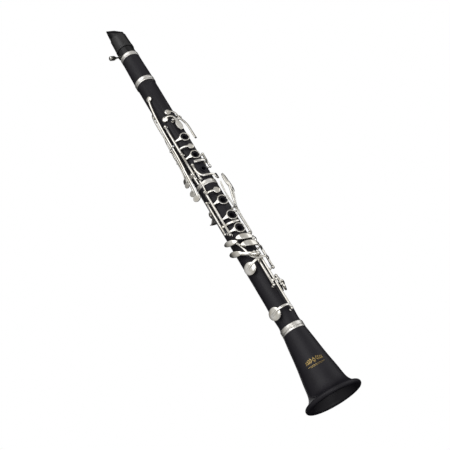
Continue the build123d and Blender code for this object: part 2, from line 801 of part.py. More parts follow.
with BuildPart() as thumb_rest_screws:
    for height in (287.5, 294.5):
        add(bar(around(height, 180, 12.0), around(height, 180, 16.4), 1.0))
        add(bar(around(height, 180, 16.02), around(height, 180, 16.9), 1.9))
        slot = surface(height, 180, 16.9)
        with BuildSketch(slot):
            Rectangle(5, 0.5)
        extrude(amount=-0.4, mode=Mode.SUBTRACT)
thumb_rest_screws.part.label = "thumb_rest_screws"
export_step(thumb_rest_screws.part, "parts/thumb_rest_screws.step")


# ---------------------------------------------------------------- posts and rods


def posts(places):
    with BuildPart() as piece:
        for place, along in places:
            add(post(place, along))
    return piece.part


def small_posts(places):
    with BuildPart() as piece:
        for place, along in places:
            add(post(place, along, SMALL_BALL))
    return piece.part


UPPER_SMALL = UPPER_PLACES[2 * len(UPPER_LONG) : -1]
UPPER_LARGE = UPPER_PLACES[: 2 * len(UPPER_LONG)] + UPPER_PLACES[-1:]
with BuildPart() as upper_posts:
    add(posts(UPPER_LARGE))
    add(small_posts(UPPER_SMALL))
upper_posts.part.label = "upper_posts"
export_step(upper_posts.part, "parts/upper_posts.step")

with BuildPart() as lower_posts:
    add(posts(LOWER_PLACES))
lower_posts.part.label = "lower_posts"
export_step(lower_posts.part, "parts/lower_posts.step")

ROD_END = 2.4


def rods(long_hinges, cross_hinges):
    with BuildPart() as piece:
        for low, high, angle, radius in long_hinges:
            add(hinge_tube(low - ROD_END, high + ROD_END, angle, radius, ROD))
        for height, angle, radius, half in cross_hinges:
            add(cross_tube(height, angle, radius, 2 * half + 4, 0.0, ROD))
    return piece.part


upper_hinge_rods = rods(UPPER_LONG, UPPER_CROSS)
upper_hinge_rods.label = "upper_hinge_rods"
export_step(upper_hinge_rods, "parts/upper_hinge_rods.step")

lower_hinge_rods = rods(LOWER_LONG, LOWER_CROSS)
lower_hinge_rods.label = "lower_hinge_rods"
export_step(lower_hinge_rods, "parts/lower_hinge_rods.step")


# ---------------------------------------------------------------- keys of the upper joint


def long_hole(hinge):
    """The bore of a hinge tube that runs along the body."""
    low, high, angle, radius = hinge
    return hinge_tube(low - 30, high + 30, angle, radius, TUBE_HOLE)


def cross_hole(hinge):
    height, angle, radius, half = hinge
    return cross_tube(height, angle, radius, 4 * half, 0.0, TUBE_HOLE)


def tube_between(low, high, hinge):
    return hinge_tube(low, high, hinge[2], hinge[3])


def turned(piece, hinge, degrees_open):
    """A key drawn with its pad closed, turned to where it stands at rest."""
    return piece.rotate(hinge_line(hinge[2], hinge[3]), degrees_open)


RING_UPPER = 15.4
RING_LOWER = 15.75

with BuildPart() as first_ring_key:
    add(tube_between(STACK_MIDDLE + BALL_GAP, UPPER_STACK[1] - BALL_GAP, UPPER_STACK))
    add(finger_ring(424.3, 0, RING_UPPER, RING_HOLE_UPPER))
    add(ring_web(424.3, 0, RING_UPPER, RING_HOLE_UPPER, 424.3 - WEB_DROP, UPPER_STACK[2]))
    add(cup(*STACK_VENT))
    add(arm([(407.5, -58, HINGE), (407, -34, 19.0), (405.4, -8, 18.2), (405, 2, 18.1)]))
    add(long_hole(UPPER_STACK), mode=Mode.SUBTRACT)
first_ring_key.part = turned(first_ring_key.part, UPPER_STACK, -STACK_OPEN)
first_ring_key.part.label = "first_ring_key"
export_step(first_ring_key.part, "parts/first_ring_key.step")

with BuildPart() as second_ring_key:
    add(tube_between(UPPER_STACK[0] + BALL_GAP, STACK_MIDDLE - BALL_GAP, UPPER_STACK))
    add(finger_ring(390.6, 0, RING_UPPER, RING_HOLE_UPPER))
    add(ring_web(390.6, 0, RING_UPPER, RING_HOLE_UPPER, 390.6 - WEB_DROP, UPPER_STACK[2]))
    add(
        arm(
            [(360, -58, 20.0), (357, -58, 22.3), (350, -57.5, 22.9), (342, -57, 22.6)],
            width=2.4,
            thickness=1.3,
        )
    )
    add(long_hole(UPPER_STACK), mode=Mode.SUBTRACT)
second_ring_key.part = turned(second_ring_key.part, UPPER_STACK, -STACK_OPEN)
second_ring_key.part.label = "second_ring_key"
export_step(second_ring_key.part, "parts/second_ring_key.step")

with BuildPart() as thumb_ring_key:
    add(tube_between(THUMB_HINGE[0] + BALL_GAP, THUMB_HINGE[1] - BALL_GAP, THUMB_HINGE))
    add(finger_ring(424.0, 180, 15.5, 5.6))
    add(arm([(427, 112, HINGE), (427, 136, 18.0), (427.6, 163, 15.55)], 2.6, 1.3))
    add(arm([(421, 112, HINGE), (421, 136, 18.0), (420.4, 163, 15.55)], 2.6, 1.3))
    add(cup(*THUMB_VENT))
    add(arm([(444, 112, HINGE), (444, 130, 19.0), (443, 150, 18.1)]))
    add(long_hole(THUMB_HINGE), mode=Mode.SUBTRACT)
thumb_ring_key.part = turned(thumb_ring_key.part, THUMB_HINGE, -THUMB_OPEN)
thumb_ring_key.part.label = "thumb_ring_key"
export_step(thumb_ring_key.part, "parts/thumb_ring_key.step")

with BuildPart() as left_sliver_key:
    add(
        tube_between(
            LEFT_SLIVER_HINGE[0] + BALL_GAP, LEFT_SLIVER_HINGE[1] - BALL_GAP, LEFT_SLIVER_HINGE
        )
    )
    add(
        arm(
            [(380, 58, 18.6), (379, 35, 19.0), (378, 5, 18.4), (379, -27, 18.4)],
            width=4.0,
            thickness=1.6,
        )
    )
    add(cup(*LEFT_SLIVER))
    add(arm([(384, 58, 18.6), (384, 75, 19.0), (384, 94, 18.0)]))
    add(long_hole(LEFT_SLIVER_HINGE), mode=Mode.SUBTRACT)
left_sliver_key.part.label = "left_sliver_key"
export_step(left_sliver_key.part, "parts/left_sliver_key.step")

with BuildPart() as c_sharp_key:
    add(
        tube_between(
            C_SHARP_HINGE[0] + BALL_GAP, C_SHARP_HINGE[1] - BALL_GAP, C_SHARP_HINGE
        )
    )
    add(
        arm(
            [
                (368, -41.5, 18.8),
                (359, -38, 19.7),
                (353, -27, 19.5),
                (351.4, -6, 18.9),
                (351.2, 14, 18.9),
                (349.5, 34, 20.0),
            ],
            width=3.2,
            thickness=2.0,
        )
    )
    add(curved_plate(348.5, 41, 19.6, 21.4, 13, 9, 20, crown=0.7))
    add(cup(*C_SHARP, size=C_SHARP_CUP, depth=C_SHARP_CUP_DEPTH))
    add(
        arm(
            [(365, -43, 17.0), (365, -51, 15.9), (365, -60, 15.8), (365, -68, 17.5), (365, -77, 17.3)],
            width=3.0,
            thickness=1.1,
        )
    )
    add(long_hole(C_SHARP_HINGE), mode=Mode.SUBTRACT)
c_sharp_key.part.label = "c_sharp_key"
export_step(c_sharp_key.part, "parts/c_sharp_key.step")

with BuildPart() as throat_a_key:
    add(cross_tube(THROAT_A_HINGE[0], THROAT_A_HINGE[1], THROAT_A_HINGE[2], 5.4))
    add(cup(*THROAT_A))
    add(arm([(457.5, 1, 18.6), (463.5, -8, 19.2), (465.5, -26, 18.9), (464.5, -41, 18.2)]))
    add(arm([(456.5, 2, 18.8), (449, 0, 19.6), (438, -1, 20.4)], 3.0, 1.6))
    add(paddle(444.5, -0.5, 19.2, 9.5, 18.0, 0, thickness=2.0))
    add(cross_hole(THROAT_A_HINGE), mode=Mode.SUBTRACT)
throat_a_key.part.label = "throat_a_key"
export_step(throat_a_key.part, "parts/throat_a_key.step")

with BuildPart() as throat_g_sharp_key:
    add(cross_tube(THROAT_G_HINGE[0], THROAT_G_HINGE[1], THROAT_G_HINGE[2], 5.0))
    add(cup(*THROAT_G))
    add(arm([(463.5, 26, 18.8), (469, 18, 19.4), (473, 2, 18.8), (474, -12, 18.2)]))
    add(
        arm(
            [(463, 27, 18.8), (458, 30, 19.8), (449, 41, 21.6), (437, 47, 22.2), (421, 51, 22.4)],
            width=4.8,
            thickness=2.8,
        )
    )
    add(cross_hole(THROAT_G_HINGE), mode=Mode.SUBTRACT)
throat_g_sharp_key.part.label = "throat_g_sharp_key"
export_step(throat_g_sharp_key.part, "parts/throat_g_sharp_key.step")

with BuildPart() as register_key:
    add(cross_tube(REGISTER_HINGE[0], REGISTER_HINGE[1], REGISTER_HINGE[2], 5.0))
    add(cup(*REGISTER, size=REGISTER_CUP))
    add(
        arm(
            [(524, 180, 19.5), (510, 180, 20.0), (488, 180, 19.6), (465, 180, 20.2), (450, 180, 20.6)],
            width=3.4,
            thickness=1.8,
        )
    )
    add(paddle(446.5, 180, 19.8, 7.5, 15.0, 0))
    add(cross_hole(REGISTER_HINGE), mode=Mode.SUBTRACT)
register_key.part.label = "register_key"
export_step(register_key.part, "parts/register_key.step")

TRILL_SPREAD = 2.05
SIDE_TILT = -35
SIDE_ARM_WIDTH = 3.1
SIDE_ARM_THICKNESS = 2.0
with BuildPart() as side_key_1:
    add(cross_tube(*TRILL_HINGE[:3], 2.5, TRILL_SPREAD))
    add(cup(*TRILL_1))
    add(
        arm(
            [
                (510, -61, 18.2),
                (502, -65, 19.4),
                (476, -73, 20.3),
                (418, -78, 20.5),
                (384, -80, 21.0),
                (364, -81.5, 22.2),
                (342, -83, 22.6),
                (331, -89, 23.0),
            ],
            width=SIDE_ARM_WIDTH,
            thickness=SIDE_ARM_THICKNESS,
        )
    )
    add(paddle(330, -94, 23.0, 12.5, 10.4, SIDE_TILT))
    add(cross_hole(TRILL_HINGE), mode=Mode.SUBTRACT)
side_key_1.part.label = "side_key_1"
export_step(side_key_1.part, "parts/side_key_1.step")

with BuildPart() as side_key_2:
    add(cross_tube(*TRILL_HINGE[:3], 2.5, -TRILL_SPREAD))
    add(cup(*TRILL_2))
    add(
        arm(
            [
                (484, -96, 18.2),
                (474, -93.5, 19.6),
                (450, -90.5, 20.4),
                (418, -90, 20.5),
                (384, -91, 21.0),
                (364, -92, 22.2),
                (352, -93, 22.5),
                (342, -97, 22.8),
            ],
            width=SIDE_ARM_WIDTH,
            thickness=SIDE_ARM_THICKNESS,
        )
    )
    add(paddle(341, -103, 23.0, 11.0, 9.4, SIDE_TILT))
    add(cross_hole(TRILL_HINGE), mode=Mode.SUBTRACT)
side_key_2.part.label = "side_key_2"
export_step(side_key_2.part, "parts/side_key_2.step")

with BuildPart() as side_key_3:
    add(cross_tube(*SIDE_HINGE[:3], 2.5, TRILL_SPREAD))
    add(cup(*SIDE_3))
    add(
        arm(
            [
                (441, -112, 18.0),
                (430, -111, 18.8),
                (402, -110.6, 18.8),
                (375, -109, 19.6),
                (361, -108.5, 22.0),
            ],
            width=SIDE_ARM_WIDTH,
            thickness=SIDE_ARM_THICKNESS,
        )
    )
    add(paddle(358.5, -111.5, 23.0, 9.2, 8.4, SIDE_TILT))
    add(cross_hole(SIDE_HINGE), mode=Mode.SUBTRACT)
side_key_3.part.label = "side_key_3"
export_step(side_key_3.part, "parts/side_key_3.step")

with BuildPart() as side_key_4:
    add(cross_tube(*SIDE_HINGE[:3], 2.5, -TRILL_SPREAD))
    add(cup(*SIDE_4))
    add(
        arm(
            [
                (426, -134, 18.0),
                (416, -127, 18.8),
                (402, -123.4, 18.8),
                (382, -124, 19.6),
                (370, -125.5, 22.0),
            ],
            width=SIDE_ARM_WIDTH,
            thickness=SIDE_ARM_THICKNESS,
        )
    )
    add(paddle(368, -126, 22.2, 9.5, 8.2, SIDE_TILT))
    add(cross_hole(SIDE_HINGE), mode=Mode.SUBTRACT)
side_key_4.part.label = "side_key_4"
export_step(side_key_4.part, "parts/side_key_4.step")


# ---------------------------------------------------------------- keys of the lower joint

with BuildPart() as lower_ring_key:
    add(tube_between(LOWER_STACK[0] + BALL_GAP, LOWER_STACK[1] - BALL_GAP, LOWER_STACK))
    for height, angle, radius in FINGER_HOLES_LOWER:
        add(finger_ring(height, angle, RING_LOWER, RING_HOLE_LOWER))
        root = max(height - WEB_DROP, LOWER_STACK[0] + BALL + WEB_DROP)
        add(ring_web(height, angle, RING_LOWER, RING_HOLE_LOWER, root, LOWER_STACK[2]))
    add(cup(*LOWER_VENT, size=VENT_CUP))
    add(arm([(324.4, -55, HINGE), (324.4, -34, 19.4), (323.6, -12, 18.6), (323.4, -4, 18.5)]))
    add(
        arm(
            [(323, -53, 20.4), (327, -48, 22.4), (336, -46, 22.8), (345.5, -46.5, 22.6)],
            width=2.4,
            thickness=1.3,
        )
    )
    add(long_hole(LOWER_STACK), mode=Mode.SUBTRACT)
lower_ring_key.part = turned(lower_ring_key.part, LOWER_STACK, -STACK_OPEN)
lower_ring_key.part.label = "lower_ring_key"
export_step(lower_ring_key.part, "parts/lower_ring_key.step")

with BuildPart() as right_sliver_key:
    add(
        tube_between(
            RIGHT_SLIVER_HINGE[0] + BALL_GAP, RIGHT_SLIVER_HINGE[1] - BALL_GAP, RIGHT_SLIVER_HINGE
        )
    )
    add(
        arm(
            [(271, -73, 17.6), (271, -62, 16.5), (270.5, -50, 16.5), (269.2, -30, 17.8), (268.9, 12, 18.2)],
            width=3.4,
            thickness=1.1,
        )
    )
    add(cup(*RIGHT_SLIVER))
    add(arm([(300, -74, HINGE), (300, -92, 19.4), (300, -110, 18.5)]))
    add(long_hole(RIGHT_SLIVER_HINGE), mode=Mode.SUBTRACT)
right_sliver_key.part.label = "right_sliver_key"
export_step(right_sliver_key.part, "parts/right_sliver_key.step")

with BuildPart() as a_flat_key:
    add(tube_between(A_FLAT_HINGE[0] + BALL_GAP, A_FLAT_HINGE[1] - BALL_GAP, A_FLAT_HINGE))
    add(cup(*A_FLAT, size=MIDDLE_CUP, depth=BIG_CUP_DEPTH))
    add(arm([(238, 25, HINGE), (238, 42, 20.6), (238, 64, 20.0)], 4.0, 1.6))
    add(curved_plate(241, -10, 20.0, 22.2, 24, 8.8, -14, crown=1.0))
    add(arm([(240, -2, 20.8), (239, 14, 20.8), (238.5, 25, 19.6)], 4.0, 1.6))
    add(long_hole(A_FLAT_HINGE), mode=Mode.SUBTRACT)
a_flat_key.part.label = "a_flat_key"
export_step(a_flat_key.part, "parts/a_flat_key.step")

with BuildPart() as f_sharp_key:
    add(tube_between(F_SHARP_HINGE[0] + BALL_GAP, F_SHARP_HINGE[1] - BALL_GAP, F_SHARP_HINGE))
    add(cup(*F_SHARP, size=BIG_CUP, depth=BIG_CUP_DEPTH))
    add(
        arm(
            [
                (203, 50, 20.2),
                (203, 30, 22.6),
                (203, 0, 22.8),
                (201, -35, 21.8),
                (198, -57, 20.6),
                (196.4, -72, 20.3),
            ],
            width=3.4,
            thickness=1.6,
        )
    )
    add(curved_plate(228, -9, 20.2, 22.4, 27, 9.0, -12, crown=1.0))
    add(arm([(226.5, 4, 20.9), (223, 28, 20.8), (219, 50, 20.2)], 4.0, 1.8))
    add(long_hole(F_SHARP_HINGE), mode=Mode.SUBTRACT)
f_sharp_key.part = turned(f_sharp_key.part, F_SHARP_HINGE, F_SHARP_OPEN)
f_sharp_key.part.label = "f_sharp_key"
export_step(f_sharp_key.part, "parts/f_sharp_key.step")

with BuildPart() as e_b_key:
    add(tube_between(E_B_HINGE[0] + BALL_GAP, E_B_HINGE[1] - BALL_GAP, E_B_HINGE))
    add(hinge_tube(206.2, 212.8, E_B_HINGE[2], HINGE, 2.6))
    add(cup(*E_B, size=BIG_CUP, depth=BIG_CUP_DEPTH))
    add(
        arm(
            [
                (129.6, 8, HINGE),
                (129.6, -18, 21.0),
                (128.6, -45, 21.2),
                (127.2, -62, 20.6),
                (126.6, -76, 20.3),
            ],
            width=3.4,
            thickness=1.6,
        )
    )
    add(curved_plate(226, -82, 19.6, 21.8, 25, 8.6, -28, crown=1.0))
    add(
        arm(
            [(222, -62, 20.4), (217, -42, 21.2), (212, -20, 22.4), (209.5, -5, 22.6), (209, 8, 20.6)],
            width=4.6,
            thickness=1.6,
        )
    )
    add(long_hole(E_B_HINGE), mode=Mode.SUBTRACT)
e_b_key.part = turned(e_b_key.part, E_B_HINGE, E_B_OPEN)
e_b_key.part.label = "e_b_key"
export_step(e_b_key.part, "parts/e_b_key.step")

with BuildPart() as f_c_lever:
    add(tube_between(F_C_HINGE[0] + BALL_GAP, F_C_HINGE[1] - BALL_GAP, F_C_HINGE))
    add(curved_plate(243, -76, 19.4, 21.6, 23, 8.0, -22, crown=1.0))
    add(
        arm(
            [(240, -57, 19.8), (235, -47, 17.4), (222, -34, 16.3), (212, -22, 16.3), (208, -9, 18.0)],
            width=3.0,
            thickness=1.2,
        )
    )
    add(arm([(168, -9, 19.6), (168, -2, 21.6), (168, 8, 22.5), (168, 17, 22.5)], 3.0, 1.2))
    add(long_hole(F_C_HINGE), mode=Mode.SUBTRACT)
f_c_lever.part = turned(f_c_lever.part, F_C_HINGE, F_C_OPEN)
f_c_lever.part.label = "f_c_lever"
export_step(f_c_lever.part, "parts/f_c_lever.step")

with BuildPart() as f_c_cup_key:
    add(
        tube_between(F_C_CUP_HINGE[0] + BALL_GAP, F_C_CUP_HINGE[1] - BALL_GAP, F_C_CUP_HINGE)
    )
    add(cup(*F_C, size=MIDDLE_CUP, depth=BIG_CUP_DEPTH))
    add(arm([(167, 30, HINGE), (166, 45, 21.0), (163, 62, 20.2)], 3.4, 1.6))
    add(arm([(168.5, 30, 20.0), (168.5, 25, 22.6), (168.5, 17, 24.0)], 3.0, 1.2))
    add(long_hole(F_C_CUP_HINGE), mode=Mode.SUBTRACT)
f_c_cup_key.part = turned(f_c_cup_key.part, F_C_CUP_HINGE, -F_C_CUP_OPEN)
f_c_cup_key.part.label = "f_c_cup_key"
export_step(f_c_cup_key.part, "parts/f_c_cup_key.step")


LEVER_WIDTH = 3.0
LEVER_TILT = 45


def left_lever(shift, outline, thickness, touch=None):
    """A left-hand lever rocking on the shared cross rod, shift mm from its middle.

    The outline gives (height, radius) along the lever. The touch, if it has one, is
    (height, radius, width, length) of an oval plate near the top.
    """
    height, angle, radius, half = LEFT_LEVER_HINGE
    lean = angle + degrees(atan2(shift, radius))
    with BuildPart() as piece:
        add(cross_tube(height, angle, radius, LEVER_WIDTH, shift))
        places = [(level, lean, distance) for level, distance in outline]
        add(arm(places, width=LEVER_WIDTH, thickness=thickness))
        if touch:
            add(paddle(touch[0], lean, touch[1], touch[2], touch[3], LEVER_TILT))
        add(cross_hole(LEFT_LEVER_HINGE), mode=Mode.SUBTRACT)
    return piece.part


LEVER_SPREAD = 4.6
LEVER_FOOT = [(250, 19.6), (270, 19.6), (292, 20.2)]

left_f_lever = left_lever(
    -LEVER_SPREAD,
    [(250, 19.6), (270, 19.2), (292, 18.8), (312, 18.2), (328, 19.0), (338.5, 20.4)],
    thickness=2.0,
)
left_f_lever.label = "left_f_lever"
export_step(left_f_lever, "parts/left_f_lever.step")

left_f_sharp_lever = left_lever(
    0,
    LEVER_FOOT + [(308, 22.8), (324, 26.4), (338, 27.8), (350, 27.4)],
    thickness=2.8,
    touch=(338, 27.0, 7.0, 24.0),
)
left_f_sharp_lever.label = "left_f_sharp_lever"
export_step(left_f_sharp_lever, "parts/left_f_sharp_lever.step")

left_e_lever = left_lever(
    LEVER_SPREAD,
    LEVER_FOOT + [(304, 23.4), (318, 28.0), (332, 30.0), (344, 29.6)],
    thickness=2.8,
    touch=(331, 29.2, 6.5, 24.0),
)
left_e_lever.label = "left_e_lever"
export_step(left_e_lever, "parts/left_e_lever.step")


# ---------------------------------------------------------------- pads
# (name, cup place, cup radius, cup depth, hinge of an open key, degrees it stands open)

PADS = [
    ("side_1", TRILL_1, SMALL_CUP, SMALL_CUP_DEPTH, None, 0),
    ("side_2", TRILL_2, SMALL_CUP, SMALL_CUP_DEPTH, None, 0),
    ("side_3", SIDE_3, SMALL_CUP, SMALL_CUP_DEPTH, None, 0),
    ("side_4", SIDE_4, SMALL_CUP, SMALL_CUP_DEPTH, None, 0),
    ("throat_a", THROAT_A, SMALL_CUP, SMALL_CUP_DEPTH, None, 0),
    ("throat_g_sharp", THROAT_G, SMALL_CUP, SMALL_CUP_DEPTH, None, 0),
    ("register", REGISTER, REGISTER_CUP, SMALL_CUP_DEPTH, None, 0),
    ("left_sliver", LEFT_SLIVER, SMALL_CUP, SMALL_CUP_DEPTH, None, 0),
    ("c_sharp", C_SHARP, C_SHARP_CUP, C_SHARP_CUP_DEPTH, None, 0),
    ("first_ring", STACK_VENT, SMALL_CUP, SMALL_CUP_DEPTH, UPPER_STACK, -STACK_OPEN),
    ("thumb_ring", THUMB_VENT, SMALL_CUP, SMALL_CUP_DEPTH, THUMB_HINGE, -THUMB_OPEN),
    ("lower_ring", LOWER_VENT, VENT_CUP, SMALL_CUP_DEPTH, LOWER_STACK, -STACK_OPEN),
    ("right_sliver", RIGHT_SLIVER, SMALL_CUP, SMALL_CUP_DEPTH, None, 0),
    ("a_flat", A_FLAT, MIDDLE_CUP, BIG_CUP_DEPTH, None, 0),
    ("f_sharp", F_SHARP, BIG_CUP, BIG_CUP_DEPTH, F_SHARP_HINGE, F_SHARP_OPEN),
    ("f_c", F_C, MIDDLE_CUP, BIG_CUP_DEPTH, F_C_CUP_HINGE, -F_C_CUP_OPEN),
    ("e_b", E_B, BIG_CUP, BIG_CUP_DEPTH, E_B_HINGE, E_B_OPEN),
]
for name, place, size, depth, hinge, opening in PADS:
    key_pad = pad(*place, size=size, depth=depth)
    if hinge:
        key_pad = turned(key_pad, hinge, opening)
    key_pad.label = f"pad_{name}"
    export_step(key_pad, f"parts/pad_{name}.step")
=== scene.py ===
import json
import math

import bmesh
import bpy
import numpy as np
from mathutils import Matrix, Vector
from mathutils.bvhtree import BVHTree


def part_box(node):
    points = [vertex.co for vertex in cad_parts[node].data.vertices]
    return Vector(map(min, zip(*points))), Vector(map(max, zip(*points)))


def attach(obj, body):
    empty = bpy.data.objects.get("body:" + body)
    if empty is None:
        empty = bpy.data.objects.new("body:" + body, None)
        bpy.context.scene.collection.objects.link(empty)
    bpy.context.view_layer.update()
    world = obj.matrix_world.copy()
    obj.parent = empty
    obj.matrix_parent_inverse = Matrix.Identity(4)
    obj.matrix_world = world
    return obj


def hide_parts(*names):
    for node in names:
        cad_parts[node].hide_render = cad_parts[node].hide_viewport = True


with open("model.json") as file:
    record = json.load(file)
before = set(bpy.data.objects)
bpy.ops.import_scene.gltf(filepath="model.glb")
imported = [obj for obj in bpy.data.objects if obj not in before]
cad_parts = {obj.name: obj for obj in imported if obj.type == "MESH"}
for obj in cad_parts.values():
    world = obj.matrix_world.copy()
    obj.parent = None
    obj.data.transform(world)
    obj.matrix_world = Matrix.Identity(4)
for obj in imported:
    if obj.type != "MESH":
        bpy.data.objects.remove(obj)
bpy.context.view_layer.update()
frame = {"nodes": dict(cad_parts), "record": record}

# ---------------------------------------------------------------- driving values

MM = 0.001
RECORD = frame["record"]
NODES = frame["nodes"]
BODIES = RECORD["behaviour"]["bodies"]
SLOT_OF = {entry["node"]: entry["material_slot"] for entry in RECORD["subparts"]}

# The camera stands below the bell, on the side of the side keys, and looks up
CAMERA_SIDE = math.radians(-35.5)
CAMERA_DISTANCE = 1.0381
CAMERA_HEIGHT = -0.2237
CAMERA_PITCH = 0.4508
CAMERA_YAW = -0.0056
CAMERA_ROLL = -0.5383
CAMERA_LENS = 67.82


def outward(degrees):
    """The direction away from the bore at an angle round it, 0 at the finger holes."""
    angle = math.radians(degrees)
    return Vector((math.sin(angle), -math.cos(angle), 0))


def around(height, degrees, radius):
    """A place given in millimetres: height up the bore, angle round it, radius."""
    return (outward(degrees) * radius + Vector((0, 0, height))) * MM


# ---------------------------------------------------------------- node materials


class Shader:
    """A material with short calls for the nodes that this scene uses."""

    def __init__(self, name):
        self.material = bpy.data.materials.new(name)
        self.material.use_nodes = True
        self.tree = self.material.node_tree
        self.surface = self.tree.nodes["Principled BSDF"]
        self.place = self.add("ShaderNodeTexCoord").outputs["Object"]

    def add(self, kind, **values):
        node = self.tree.nodes.new(kind)
        for key, value in values.items():
            setattr(node, key, value)
        return node

    def link(self, source, target):
        self.tree.links.new(source, target)

    def put(self, name, value):
        """Sets an input of the surface, or links a node's output to it."""
        socket = self.surface.inputs[name]
        if isinstance(value, bpy.types.NodeSocket):
            self.link(value, socket)
        else:
            socket.default_value = value

    def stretched(self, scale):
        """The frame's coordinates, stretched by a factor for each axis."""
        mapping = self.add("ShaderNodeMapping")
        self.link(self.place, mapping.inputs["Vector"])
        mapping.inputs["Scale"].default_value = scale
        return mapping.outputs["Vector"]

    def noise(self, scale, detail=4.0, place=None, rough=0.55):
        node = self.add("ShaderNodeTexNoise")
        self.link(place or self.place, node.inputs["Vector"])
        node.inputs["Scale"].default_value = scale
        node.inputs["Detail"].default_value = detail
        node.inputs["Roughness"].default_value = rough
        return node.outputs["Fac"]

    def cells(self, scale, place=None):
        node = self.add("ShaderNodeTexVoronoi")
        self.link(place or self.place, node.inputs["Vector"])
        node.inputs["Scale"].default_value = scale
        return node.outputs["Distance"]

    def ramp(self, source, stops):
        """Colours along a value: stops are (position, colour)."""
        node = self.add("ShaderNodeValToRGB")
        while len(node.color_ramp.elements) < len(stops):
            node.color_ramp.elements.new(0.5)
        for element, (position, colour) in zip(node.color_ramp.elements, stops):
            element.position = position
            element.color = (*colour, 1)
        self.link(source, node.inputs["Fac"])
        return node.outputs["Color"]

    def span(self, source, low, high, start=0.3, end=0.7):
        """Turns a value between start and end into one between low and high."""
        node = self.add("ShaderNodeMapRange")
        self.link(source, node.inputs["Value"])
        node.inputs["From Min"].default_value = start
        node.inputs["From Max"].default_value = end
        node.inputs["To Min"].default_value = low
        node.inputs["To Max"].default_value = high
        return node.outputs["Result"]

    def bump(self, source, strength, depth, under=None):
        node = self.add("ShaderNodeBump")
        self.link(source, node.inputs["Height"])
        node.inputs["Strength"].default_value = strength
        node.inputs["Distance"].default_value = depth
        if under is not None:
            self.link(under, node.inputs["Normal"])
        return node.outputs["Normal"]


def black_plastic(name, dark, light, low_rough, high_rough, grain):
    """Moulded and turned black resin: satin, with fine grain and faint lathe lines."""
    s = Shader(name)
    cloudy = s.noise(55, 5)
    s.put("Base Color", s.ramp(cloudy, [(0.3, dark), (0.7, light)]))
    fine = s.noise(900, 3)
    s.put("Roughness", s.span(cloudy, low_rough, high_rough))
    turned = s.noise(1.0, 2, s.stretched((30, 30, 2600)))
    lines = s.bump(turned, 0.10, 0.00004)
    s.put("Normal", s.bump(fine, grain, 0.00008, lines))
    s.put("Specular IOR Level", 0.3)
    return s.material


def plated_metal(name, bright, warm, low_rough, high_rough, scratch):
    """Nickel plate: hairline scratches, handling haze and a faint warm tarnish."""
    s = Shader(name)
    haze = s.noise(120, 5)
    s.put("Metallic", 1.0)
    s.put("Base Color", s.ramp(haze, [(0.35, warm), (0.65, bright)]))
    rubbed = s.noise(260, 6, rough=0.7)
    s.put("Roughness", s.span(rubbed, low_rough, high_rough))
    hair = s.noise(1.0, 3, s.stretched((2600, 2600, 90)), 0.7)
    s.put("Normal", s.bump(hair, scratch, 0.00003))
    return s.material


def pad_skin():
    """Thin yellowish skin over felt, slightly creased."""
    s = Shader("pad_skin")
    blotch = s.noise(420, 5)
    s.put("Base Color", s.ramp(blotch, [(0.3, (0.52, 0.38, 0.22)), (0.7, (0.78, 0.66, 0.46))]))
    s.put("Roughness", s.span(blotch, 0.45, 0.7))
    crease = s.noise(1100, 6, rough=0.75)
    s.put("Normal", s.bump(crease, 0.35, 0.00012))
    s.put("Sheen Weight", 0.25)
    return s.material


def cork():
    """Pressed cork: warm grains with small dark pits."""
    s = Shader("cork")
    grain = s.noise(700, 6)
    grains = [(0.32, (0.30, 0.15, 0.07)), (0.5, (0.62, 0.38, 0.2)), (0.7, (0.76, 0.54, 0.33))]
    s.put("Base Color", s.ramp(grain, grains))
    s.put("Roughness", 0.85)
    s.put("Normal", s.bump(s.cells(900), 0.5, 0.0002))
    return s.material


def cane():
    """Reed cane: long pale fibres with darker veins."""
    s = Shader("cane")
    fibre = s.noise(1.0, 5, s.stretched((1500, 1500, 22)))
    fibres = [(0.3, (0.50, 0.32, 0.12)), (0.5, (0.74, 0.56, 0.28)), (0.72, (0.86, 0.71, 0.42))]
    s.put("Base Color", s.ramp(fibre, fibres))
    s.put("Roughness", s.span(fibre, 0.42, 0.65))
    s.put("Normal", s.bump(fibre, 0.3, 0.00008))
    s.put("Subsurface Weight", 0.08)
    s.put("Subsurface Radius", (0.002, 0.0012, 0.0006))
    return s.material


def lacquer():
    """Black lacquered band with light rubbing on its high spots."""
    s = Shader("ligature_black")
    rub = s.noise(300, 6, rough=0.7)
    s.put("Base Color", s.ramp(rub, [(0.45, (0.004, 0.004, 0.005)), (0.8, (0.016, 0.016, 0.018))]))
    s.put("Roughness", s.span(rub, 0.28, 0.46))
    s.put("Coat Weight", 0.2)
    s.put("Normal", s.bump(s.noise(1500, 3), 0.2, 0.00006))
    return s.material


def blued_steel():
    s = Shader("steel")
    heat = s.noise(180, 4)
    s.put("Metallic", 1.0)
    s.put("Base Color", s.ramp(heat, [(0.3, (0.10, 0.13, 0.22)), (0.7, (0.36, 0.38, 0.44))]))
    s.put("Roughness", s.span(heat, 0.22, 0.4))
    s.put("Normal", s.bump(s.noise(1.0, 3, s.stretched((3000, 3000, 150))), 0.15, 0.00003))
    return s.material


def gold_foil():
    """The stamped ornament on the bell, a little worn."""
    s = Shader("gold_foil")
    wear = s.noise(1500, 5)
    s.put("Metallic", 0.9)
    s.put("Base Color", s.ramp(wear, [(0.35, (0.16, 0.11, 0.04)), (0.6, (0.44, 0.32, 0.12))]))
    s.put("Roughness", s.span(wear, 0.25, 0.5))
    s.put("Normal", s.bump(wear, 0.3, 0.00005))
    return s.material


